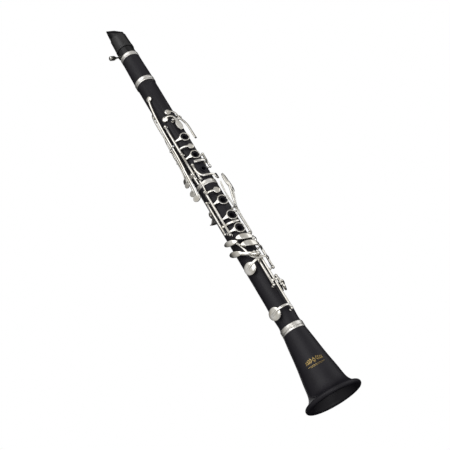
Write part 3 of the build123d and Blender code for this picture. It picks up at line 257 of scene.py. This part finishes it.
BODY_DARK = (0.0050, 0.0044, 0.0076)
BODY_LIGHT = (0.0100, 0.0088, 0.0135)
MOUTH_DARK = (0.0040, 0.0040, 0.0050)
MOUTH_LIGHT = (0.0080, 0.0080, 0.0095)
NICKEL_BRIGHT = (0.86, 0.85, 0.82)
NICKEL_WARM = (0.68, 0.65, 0.58)
BRUSHED_BRIGHT = (0.86, 0.85, 0.83)
BRUSHED_WARM = (0.68, 0.66, 0.62)

MATERIALS = {
    "body_plastic": black_plastic("body_plastic", BODY_DARK, BODY_LIGHT, 0.42, 0.55, 0.25),
    "mouthpiece_plastic": black_plastic("mouthpiece_plastic", MOUTH_DARK, MOUTH_LIGHT, 0.18, 0.28, 0.06),
    "nickel": plated_metal("nickel", NICKEL_BRIGHT, NICKEL_WARM, 0.12, 0.26, 0.12),
    "ligature_nickel": plated_metal("ligature_nickel", NICKEL_BRIGHT, NICKEL_WARM, 0.14, 0.28, 0.14),
    "steel": blued_steel(),
    "pad_skin": pad_skin(),
    "cork": cork(),
    "cane": cane(),
    "ligature_black": lacquer(),
}
BRUSHED = plated_metal("brushed_nickel", BRUSHED_BRIGHT, BRUSHED_WARM, 0.30, 0.46, 0.30)
GOLD = gold_foil()

# ---------------------------------------------------------------- CAD pieces: edges and materials

SOFT_EDGE = {
    "nickel": 0.35,
    "ligature_nickel": 0.25,
    "body_plastic": 0.3,
    "mouthpiece_plastic": 0.4,
    "ligature_black": 0.25,
}


BRUSHED_NODES = ("bell_ring", "lower_joint_ring", "barrel_rings", "thumb_rest")
WELD_MM = 0.01
BEVEL_SEGMENTS = 2
BEVEL_FROM_DEGREES = 38


def finish_cad(name):
    """Gives a CAD node its material, rounded edges and smooth shading."""
    node = NODES[name]
    slot = SLOT_OF[name]
    node.data.materials.clear()
    node.data.materials.append(BRUSHED if name in BRUSHED_NODES else MATERIALS[slot])
    weld = node.modifiers.new("weld", "WELD")
    weld.merge_threshold = WELD_MM * MM
    if slot in SOFT_EDGE:
        bevel = node.modifiers.new("soft_edges", "BEVEL")
        bevel.width = SOFT_EDGE[slot] * MM
        bevel.segments = BEVEL_SEGMENTS
        bevel.limit_method = "ANGLE"
        bevel.angle_limit = math.radians(BEVEL_FROM_DEGREES)
        bevel.use_clamp_overlap = True
        bevel.harden_normals = True
    node.data.shade_smooth()


for node_name in NODES:
    finish_cad(node_name)

# ---------------------------------------------------------------- mesh helpers


def new_piece(name, bm, material, body):
    """Turns a bmesh into a smooth-shaded piece that rides a body."""
    mesh = bpy.data.meshes.new(name)
    bmesh.ops.recalc_face_normals(bm, faces=bm.faces)
    bm.to_mesh(mesh)
    bm.free()
    mesh.shade_smooth()
    mesh.materials.append(material)
    piece = bpy.data.objects.new(name, mesh)
    bpy.context.scene.collection.objects.link(piece)
    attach(piece, body)
    return piece


def spokes(axis, turns):
    """Directions at even angles round an axis."""
    side = axis.orthogonal().normalized()
    other = axis.cross(side)
    angles = [2 * math.pi * step / turns for step in range(turns)]
    return [side * math.cos(angle) + other * math.sin(angle) for angle in angles]


def bridge(bm, low, high):
    """Joins two closed loops of the same number of points with four-sided faces."""
    for step in range(len(low)):
        after = (step + 1) % len(low)
        bm.faces.new((low[step], low[after], high[after], high[step]))


def close_ends(bm, rings):
    bm.faces.new(rings[0])
    bm.faces.new(reversed(rings[-1]))


def turned_rings(bm, profile, origin, axis, turns):
    """One ring of points for each (along, radius) of a profile in millimetres."""
    ways = spokes(axis, turns)
    rings = []
    for along, radius in profile:
        rings.append([bm.verts.new(origin + (axis * along + way * radius) * MM) for way in ways])
    return rings


def lathe(bm, profile, origin, axis, turns):
    """Adds a closed surface of revolution with flat ends."""
    rings = turned_rings(bm, profile, origin, axis.normalized(), turns)
    for low, high in zip(rings, rings[1:]):
        bridge(bm, low, high)
    close_ends(bm, rings)


def tube(bm, profile, origin, axis, turns):
    """Adds a ring-shaped piece from a profile that ends where it starts."""
    rings = turned_rings(bm, profile[:-1], origin, axis, turns)
    for number, low in enumerate(rings):
        bridge(bm, low, rings[(number + 1) % len(rings)])


def node_points(name):
    count = len(NODES[name].data.vertices)
    points = np.zeros(count * 3)
    NODES[name].data.vertices.foreach_get("co", points)
    return points.reshape(-1, 3)


def disc_frame(name):
    """Middle, outward axis, thickness and radius of a disc-shaped CAD node."""
    points = np.unique(np.round(node_points(name), 7), axis=0)
    low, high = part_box(name)
    middle = (low + high) / 2
    centred = points - np.array(middle)
    axis = Vector(np.linalg.svd(centred, full_matrices=False)[2][2])
    away = Vector((middle.x, middle.y, 0))
    if axis.dot(away) < 0:
        axis.negate()
    along = centred @ np.array(axis)
    middle = middle + axis * float((along.max() + along.min()) / 2)
    across = centred - np.outer(along, np.array(axis))
    radius = float(np.linalg.norm(across, axis=1).max())
    return middle, axis, float(along.max() - along.min()), radius


# ---------------------------------------------------------------- pads


PAD_TURNS = 48


def pad_piece(name, body):
    """A felt pad in skin: domed face, rolled edge and a shallow seat ring."""
    middle, axis, thick, radius = disc_frame(name)
    t, r = thick / MM, radius / MM
    low = -t / 2
    profile = [
        (low + 0.10, r * 0.02),
        (low + 0.06, r * 0.45),
        (low + 0.02, r * 0.60),
        (low + 0.13, r * 0.66),
        (low + 0.03, r * 0.73),
        (low + 0.05, r * 0.86),
        (low + 0.22, r * 0.96),
        (low + 0.50, r * 0.99),
        (t / 2 - 0.05, r * 0.985),
        (t / 2 - 0.02, r * 0.02),
    ]
    bm = bmesh.new()
    lathe(bm, profile, middle, axis, PAD_TURNS)
    piece = new_piece(f"{name}_skin", bm, MATERIALS["pad_skin"], body)
    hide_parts(name)


for body_name, members in BODIES.items():
    for member in members:
        if member.startswith("pad_"):
            pad_piece(member, body_name)

# ---------------------------------------------------------------- corks


CORK_TURNS = 72
CORK_FIT = 0.02
GROOVE_STEP = 2.0
GROOVE_DEPTH = 0.09


def cork_sleeves(name, body):
    """Wrapped cork for each band of a CAD node: tapered ends and small grease grooves."""
    points = node_points(name) / MM
    heights = sorted(set(np.round(points[:, 2], 2)))
    radii = np.hypot(points[:, 0], points[:, 1])
    inner, outer = float(radii.min()) + CORK_FIT, float(radii.max())
    bm = bmesh.new()
    for foot, top in zip(heights[::2], heights[1::2]):
        profile = [(0.0, outer - 0.35), (0.5, outer - 0.12), (1.4, outer)]
        grooves = int((top - foot - 3) / GROOVE_STEP)
        for number in range(grooves):
            start = GROOVE_STEP + number * GROOVE_STEP
            dip = outer - GROOVE_DEPTH
            profile += [(start, outer), (start + 0.25, dip), (start + 0.5, outer)]
        length = top - foot
        profile += [(length - 1.2, outer), (length - 0.4, outer - 0.15), (length, outer - 0.4)]
        profile += [(length, inner), (0.0, inner), (0.0, outer - 0.35)]
        tube(bm, profile, Vector((0, 0, foot)) * MM, Vector((0, 0, 1)), CORK_TURNS)
    piece = new_piece(f"{name}_wrap", bm, MATERIALS["cork"], body)
    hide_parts(name)


cork_sleeves("tenon_corks", "instrument")
cork_sleeves("mouthpiece_cork", "mouthpiece")

# Thin cork glued under each touch piece: key, height, angle and radius of the disc
KEY_CORKS = [
    ("side_key_1", 330.0, -94.0, 2.3),
    ("side_key_2", 341.0, -103.0, 2.1),
    ("side_key_3", 358.5, -111.5, 1.9),
    ("side_key_4", 368.0, -126.0, 1.9),
    ("a_flat_key", 241.0, -10.0, 2.0),
    ("f_sharp_key", 228.0, -9.0, 2.0),
    ("e_b_key", 226.0, -82.0, 2.0),
    ("f_c_lever", 243.0, -76.0, 2.0),
]
CORK_REACH = 15.2
CORK_THICK = 1.4
CORK_SUNK = 0.3
DISC_TURNS = 28


def surface_tree(name):
    data = NODES[name].data
    corners = [tuple(v.co) for v in data.vertices]
    return BVHTree.FromPolygons(corners, [tuple(p.vertices) for p in data.polygons])


def key_cork(key, height, degrees, size):
    """A cork disc on the face of the key that looks at the body."""
    out = outward(degrees)
    hit, normal, _, _ = surface_tree(key).ray_cast(around(height, degrees, CORK_REACH), out)
    if normal.dot(out) > 0:
        normal.negate()
    profile = [
        (-CORK_SUNK, size * 0.05),
        (-CORK_SUNK, size),
        (CORK_THICK - 0.25, size),
        (CORK_THICK, size * 0.88),
        (CORK_THICK, size * 0.05),
    ]
    bm = bmesh.new()
    lathe(bm, profile, hit, normal, DISC_TURNS)
    piece = new_piece(f"{key}_cork", bm, MATERIALS["cork"], key)


for key_disc in KEY_CORKS:
    key_cork(*key_disc)

# ---------------------------------------------------------------- needle springs

# Each spring leaves a post and runs along under its key tube:
# name, height at the post, angle, hinge radius, signed length
SPRINGS = [
    ("upper_stack_low", 353.6, -58.0, 19.2, 11.0),
    ("upper_stack_high", 453.0, -58.0, 19.2, -11.0),
    ("thumb_low", 409.6, 112.0, 19.2, 9.0),
    ("lower_stack_low", 253.4, -55.0, 19.2, 12.0),
    ("lower_stack_high", 328.6, -55.0, 19.2, -12.0),
    ("right_sliver", 259.2, -74.0, 19.2, 10.0),
    ("e_b", 123.4, 8.0, 19.2, 13.0),
    ("f_c_lever", 161.6, -9.0, 19.2, 12.0),
    ("f_sharp", 189.4, 50.0, 20.2, 9.0),
    ("a_flat", 231.2, 25.0, 19.2, 6.0),
    ("f_c_cup", 160.6, 30.0, 19.2, 6.0),
]


SPRING_STEPS = 8
SPRING_SIDES = 8
SPRING_WIRE = 0.32
SPRING_TAPER = 0.4
SPRING_BOW = 0.35
SPRING_BELOW = 2.1
SPRING_ASIDE = 4.5
SPRING_SWEEP = 2.0


def wire(bm, points, radius):
    """A round wire through points, closed at both ends, a little thinner at its tip."""
    rings = []
    for number, point in enumerate(points):
        before = points[max(number - 1, 0)]
        after = points[min(number + 1, len(points) - 1)]
        size = radius * (1.0 - SPRING_TAPER * number / (len(points) - 1))
        ways = spokes((after - before).normalized(), SPRING_SIDES)
        rings.append([bm.verts.new(point + way * size) for way in ways])
    for low, high in zip(rings, rings[1:]):
        bridge(bm, low, high)
    close_ends(bm, rings)


def needle_spring(name, height, angle, radius, length):
    points = []
    for step in range(SPRING_STEPS + 1):
        share = step / SPRING_STEPS
        bow = math.sin(share * math.pi) * SPRING_BOW
        turn = angle + SPRING_ASIDE - share * SPRING_SWEEP
        points.append(around(height + length * share, turn, radius - SPRING_BELOW - bow))
    bm = bmesh.new()
    wire(bm, points, SPRING_WIRE * MM)
    piece = new_piece(f"spring_{name}", bm, MATERIALS["steel"], "instrument")


for spring in SPRINGS:
    needle_spring(*spring)

# ---------------------------------------------------------------- knurled screw head

KNURLS = 28
KNURL_START = 1.1
KNURL_END = 6.9
KNURL_WIDTH = 0.55
KNURL_ROOT = 0.90
KNURL_CREST = 1.03


def screw_knurl():
    """Fine ridges round the head of the ligature screw."""
    low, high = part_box("ligature_screw")
    middle = (low + high) / 2
    radius = (high.z - low.z) / 2
    start = low.x + KNURL_START * MM
    end = low.x + KNURL_END * MM
    bm = bmesh.new()
    for number in range(KNURLS):
        angle = 2 * math.pi * number / KNURLS
        half = math.pi / KNURLS * KNURL_WIDTH
        corners = []
        for place in (start, end):
            for turn, reach in ((-half, KNURL_ROOT), (0.0, KNURL_CREST), (half, KNURL_ROOT)):
                spoke = Vector((0, math.cos(angle + turn), math.sin(angle + turn))) * (radius * reach)
                corners.append(bm.verts.new(Vector((place, middle.y, middle.z)) + spoke))
        a, b, c, d, e, f = corners
        for face in ((a, b, e, d), (b, c, f, e), (a, d, f, c), (a, c, b), (d, e, f)):
            bm.faces.new(face)
    piece = new_piece("ligature_screw_knurl", bm, MATERIALS["ligature_nickel"], "ligature_screw")
    piece.data.shade_flat()


screw_knurl()

# ---------------------------------------------------------------- ligature details

RIM_INSET = 0.7
RIM_TALL = 0.5
RIM_PROUD = 0.35
RIM_SUNK = 0.12
RIM_SIDES = 8
BAND_TAPER = 1.0
LUG_GAP = 9.0
SWEEP_STEPS = 72
RIBS = 26
RIB_SPREAD = 310.0
RIB_FIRST = 25.0
RIB_RISE = 3.4
RIB_SUNK = 0.06
RIB_WIDE = 1.9
RIB_TALL = 1.5
RIB_PROUD = 0.3
RIB_FOOT_WIDER = 1.3
RIB_TOP_SHORTER = 0.8


def rim(bm, loop, height):
    """Sweeps a closed loop of (rise, radius) round the bore, open at the ligature's lugs."""
    sections = []
    for step in range(SWEEP_STEPS + 1):
        degrees = 180.0 + LUG_GAP + (360.0 - 2 * LUG_GAP) * step / SWEEP_STEPS
        sections.append([bm.verts.new(around(height + rise, degrees, radius)) for rise, radius in loop])
    for before, after in zip(sections, sections[1:]):
        bridge(bm, before, after)
    close_ends(bm, sections)


def rib(bm, height, degrees, radius):
    """A small upright block with sloped sides, pressed out of the band."""
    foot = []
    crest = []
    foot_wide = RIB_WIDE * RIB_FOOT_WIDER
    for across, rise in ((-1, -1), (1, -1), (1, 1), (-1, 1)):
        low = around(height + rise * RIB_TALL, degrees + across * foot_wide, radius - RIB_PROUD)
        top_rise = rise * RIB_TALL * RIB_TOP_SHORTER
        high = around(height + top_rise, degrees + across * RIB_WIDE, radius + RIB_PROUD)
        foot.append(bm.verts.new(low))
        crest.append(bm.verts.new(high))
    bridge(bm, foot, crest)
    bm.faces.new(crest)
    bm.faces.new(reversed(foot))


def ligature_ribs():
    """Rolled rims and a row of small pressed ribs round the foot of the band."""
    low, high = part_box("ligature_band")
    foot = low.z / MM
    top = high.z / MM
    foot_radius = (high.x - low.x) / 2 / MM
    bm = bmesh.new()
    for height, step_in in ((foot + RIM_INSET, 0.0), (top - RIM_INSET, BAND_TAPER)):
        loop = []
        for step in range(RIM_SIDES):
            angle = 2 * math.pi * step / RIM_SIDES
            reach = foot_radius - RIM_SUNK - step_in + RIM_PROUD * math.cos(angle)
            loop.append((RIM_TALL * math.sin(angle), reach))
        rim(bm, loop, height)
    for number in range(RIBS):
        degrees = RIB_FIRST + RIB_SPREAD * number / (RIBS - 1) - 180.0
        rib(bm, foot + RIB_RISE, degrees, foot_radius - RIB_SUNK)
    piece = new_piece("ligature_ribs", bm, MATERIALS["ligature_black"], "mouthpiece")


ligature_ribs()

# ---------------------------------------------------------------- ornament on the bell

ORNAMENT_HEIGHT = 50.0
ORNAMENT_ANGLE = -27.0
ORNAMENT_WIDTH = 26.0
ORNAMENT_SCALE = 1.25
ORNAMENT_RADIUS = 25.0
RAY_START = 80.0
FOIL_PROUD = 0.07
FOIL_SUNK = 0.25
LEAF_STEPS = 10
LINE_STEPS = 16


def leaf(start, length, lean, width):
    """The outline of a small leaf: (across, up) points in millimetres."""
    upper = []
    lower = []
    for step in range(LEAF_STEPS + 1):
        share = step / LEAF_STEPS
        bulge = math.sin(share * math.pi) * width / 2
        x = start[0] + math.cos(lean) * length * share
        y = start[1] + math.sin(lean) * length * share
        upper.append((x - math.sin(lean) * bulge, y + math.cos(lean) * bulge))
        lower.append((x + math.sin(lean) * bulge, y - math.cos(lean) * bulge))
    return upper + lower[-2:0:-1]


def ornament_outlines():
    """A plain spray: a lozenge between two rows of leaves over a thin double line."""
    outlines = [[(0, 3.2), (2.0, 0), (0, -3.2), (-2.0, 0)]]
    for side in (-1, 1):
        for number in range(4):
            root = (side * (2.6 + number * 2.2), 0.4 - number * 0.25)
            for lean in (0.95, -0.75):
                way = lean if side > 0 else math.pi - lean
                outlines.append(leaf(root, 3.6 - number * 0.4, way, 1.2))
    half = ORNAMENT_WIDTH / ORNAMENT_SCALE / 2
    for height, thick, share in ((-4.9, 0.45, 1.0), (-6.1, 0.3, 0.7)):
        reach = half * share
        places = [-reach + 2 * reach * k / LINE_STEPS for k in range(LINE_STEPS + 1)]
        strip = [(x, height + thick / 2) for x in places]
        strip += [(x, height - thick / 2) for x, _ in reversed(strip)]
        outlines.append(strip)
    return outlines


def bell_ornament():
    """Foil pressed on the bell: every outline is laid on its surface."""
    tree = surface_tree("bell")

    def on_bell(across, rise, proud):
        degrees = ORNAMENT_ANGLE + math.degrees(across / ORNAMENT_RADIUS)
        height = ORNAMENT_HEIGHT + rise
        ray_start = around(height, degrees, RAY_START)
        hit, normal, _, _ = tree.ray_cast(ray_start, -outward(degrees))
        if normal.dot(outward(degrees)) < 0:
            normal.negate()
        return hit + normal * proud * MM

    bm = bmesh.new()
    for outline in ornament_outlines():
        outline = [(x * ORNAMENT_SCALE, y * ORNAMENT_SCALE) for x, y in outline]
        top = [bm.verts.new(on_bell(x, y, FOIL_PROUD)) for x, y in outline]
        foot = [bm.verts.new(on_bell(x, y, -FOIL_SUNK)) for x, y in outline]
        bridge(bm, foot, top)
        for cap in (top, list(reversed(foot))):
            face = bm.faces.new(cap)
            bmesh.ops.triangulate(bm, faces=[face])
    piece = new_piece("bell_ornament", bm, GOLD, "instrument")
    piece.data.shade_flat()


bell_ornament()

# ---------------------------------------------------------------- floor, light and camera


FLOOR_HALF = 14.0
FLOOR_HEIGHT = -0.0005
FLOOR_GLOW = 0.4


def stage_floor():
    """A pale floor, shown only to the camera and only from above."""
    bm = bmesh.new()
    half = FLOOR_HALF
    low_edge = [bm.verts.new((x, -half, FLOOR_HEIGHT)) for x in (-half, half)]
    high_edge = [bm.verts.new((x, half, FLOOR_HEIGHT)) for x in (half, -half)]
    bm.faces.new(low_edge + high_edge)
    mesh = bpy.data.meshes.new("floor")
    bm.to_mesh(mesh)
    bm.free()
    floor = bpy.data.objects.new("floor", mesh)
    bpy.context.scene.collection.objects.link(floor)
    s = Shader("floor_paper")
    s.put("Base Color", s.ramp(s.noise(3, 3), [(0.3, (0.80, 0.80, 0.79)), (0.7, (0.86, 0.86, 0.85))]))
    s.put("Roughness", 0.9)
    s.put("Emission Color", (1, 1, 1, 1))
    s.put("Emission Strength", FLOOR_GLOW)
    back = s.add("ShaderNodeNewGeometry").outputs["Backfacing"]
    seen = s.add("ShaderNodeLightPath").outputs["Is Camera Ray"]
    above = s.add("ShaderNodeMath", operation="SUBTRACT")
    s.link(seen, above.inputs[0])
    s.link(back, above.inputs[1])
    shown = s.add("ShaderNodeMath", operation="GREATER_THAN")
    s.link(above.outputs["Value"], shown.inputs[0])
    clear = s.add("ShaderNodeBsdfTransparent")
    mix = s.add("ShaderNodeMixShader")
    s.link(shown.outputs["Value"], mix.inputs["Fac"])
    s.link(clear.outputs["BSDF"], mix.inputs[1])
    s.link(s.surface.outputs["BSDF"], mix.inputs[2])
    s.link(mix.outputs["Shader"], s.tree.nodes["Material Output"].inputs["Surface"])
    mesh.materials.append(s.material)


# Position round the horizon and level: light panels in front and at the sides, dark
# behind, so that edges read dark
PANELS = [
    (0.00, 1.00), (0.06, 0.75), (0.11, 0.25), (0.16, 0.80), (0.24, 1.20),
    (0.33, 0.70), (0.40, 0.15), (0.47, 0.02), (0.66, 0.01), (0.76, 0.06),
    (0.83, 0.45), (0.91, 1.15), (1.00, 1.00),
]
PANEL_STRENGTH = 0.54
PANEL_GREEN = 0.985
PANEL_BLUE = 0.96


def studio_world():
    """White behind the object, and a studio of light and dark panels in reflections."""
    world = bpy.data.worlds.new("studio")
    bpy.context.scene.world = world
    world.use_nodes = True
    nodes = world.node_tree.nodes
    links = world.node_tree.links
    shown = nodes["Background"]
    shown.inputs["Color"].default_value = (1, 1, 1, 1)
    shown.inputs["Strength"].default_value = 1.0
    place = nodes.new("ShaderNodeTexCoord")
    split = nodes.new("ShaderNodeSeparateXYZ")
    links.new(place.outputs["Generated"], split.inputs["Vector"])
    turn = nodes.new("ShaderNodeMath")
    turn.operation = "ARCTAN2"
    links.new(split.outputs["X"], turn.inputs[0])
    links.new(split.outputs["Y"], turn.inputs[1])
    part = nodes.new("ShaderNodeMapRange")
    part.inputs["From Min"].default_value = -math.pi
    part.inputs["From Max"].default_value = math.pi
    links.new(turn.outputs["Value"], part.inputs["Value"])
    panels = nodes.new("ShaderNodeValToRGB")
    panels.color_ramp.interpolation = "EASE"
    while len(panels.color_ramp.elements) < len(PANELS):
        panels.color_ramp.elements.new(0.5)
    for element, (position, level) in zip(panels.color_ramp.elements, PANELS):
        element.position = position
        element.color = (level, level * PANEL_GREEN, level * PANEL_BLUE, 1)
    links.new(part.outputs["Result"], panels.inputs["Fac"])
    mirrored = nodes.new("ShaderNodeBackground")
    mirrored.inputs["Strength"].default_value = PANEL_STRENGTH
    links.new(panels.outputs["Color"], mirrored.inputs["Color"])
    rays = nodes.new("ShaderNodeLightPath")
    mix = nodes.new("ShaderNodeMixShader")
    links.new(rays.outputs["Is Camera Ray"], mix.inputs["Fac"])
    links.new(mirrored.outputs["Background"], mix.inputs[1])
    links.new(shown.outputs["Background"], mix.inputs[2])
    links.new(mix.outputs["Shader"], nodes["World Output"].inputs["Surface"])


# Name, place, target and size in metres, power in watts
LIGHTS = [
    ("key", (-1.5, -1.5, 1.3), (0, 0, 0.33), (2.0, 2.2), 24),
    ("fill", (1.7, -1.1, 0.5), (0, 0, 0.33), (1.4, 1.8), 8),
    ("low_front", (-0.7, -1.6, -0.5), (0, 0, 0.2), (1.2, 0.8), 7),
    ("back", (0.7, 1.8, 1.0), (0, 0, 0.35), (1.2, 1.5), 6),
]


def soft_light(name, place, target, size, power):
    light = bpy.data.lights.new(name, "AREA")
    light.shape = "RECTANGLE"
    light.size, light.size_y = size
    light.energy = power
    lamp = bpy.data.objects.new(name, light)
    bpy.context.scene.collection.objects.link(lamp)
    lamp.location = place
    lamp.rotation_euler = (Vector(target) - Vector(place)).to_track_quat("-Z", "Y").to_euler()


def photo_camera():
    """The photograph's viewing angle, worked out from its distance, pitch and roll."""
    forward_flat = Vector((-math.sin(CAMERA_SIDE), math.cos(CAMERA_SIDE), 0))
    right_flat = Vector((math.cos(CAMERA_SIDE), math.sin(CAMERA_SIDE), 0))
    up = Vector((0, 0, 1))
    level = right_flat * math.sin(CAMERA_YAW) + forward_flat * math.cos(CAMERA_YAW)
    forward = level * math.cos(CAMERA_PITCH) + up * math.sin(CAMERA_PITCH)
    right = right_flat * math.cos(CAMERA_YAW) - forward_flat * math.sin(CAMERA_YAW)
    top = right.cross(forward)
    rolled_right = right * math.cos(CAMERA_ROLL) + top * math.sin(CAMERA_ROLL)
    rolled_top = top * math.cos(CAMERA_ROLL) - right * math.sin(CAMERA_ROLL)
    data = bpy.data.cameras.new("photo_camera")
    data.lens = CAMERA_LENS
    data.sensor_width = 36.0
    camera = bpy.data.objects.new("photo_camera", data)
    bpy.context.scene.collection.objects.link(camera)
    basis = Matrix((rolled_right, rolled_top, -forward)).transposed().to_4x4()
    place = forward_flat * -CAMERA_DISTANCE + up * CAMERA_HEIGHT
    camera.matrix_world = Matrix.Translation(place) @ basis
    bpy.context.scene.camera = camera


bpy.context.scene.view_settings.view_transform = "Standard"
stage_floor()
studio_world()
for studio_light in LIGHTS:
    soft_light(*studio_light)
photo_camera()
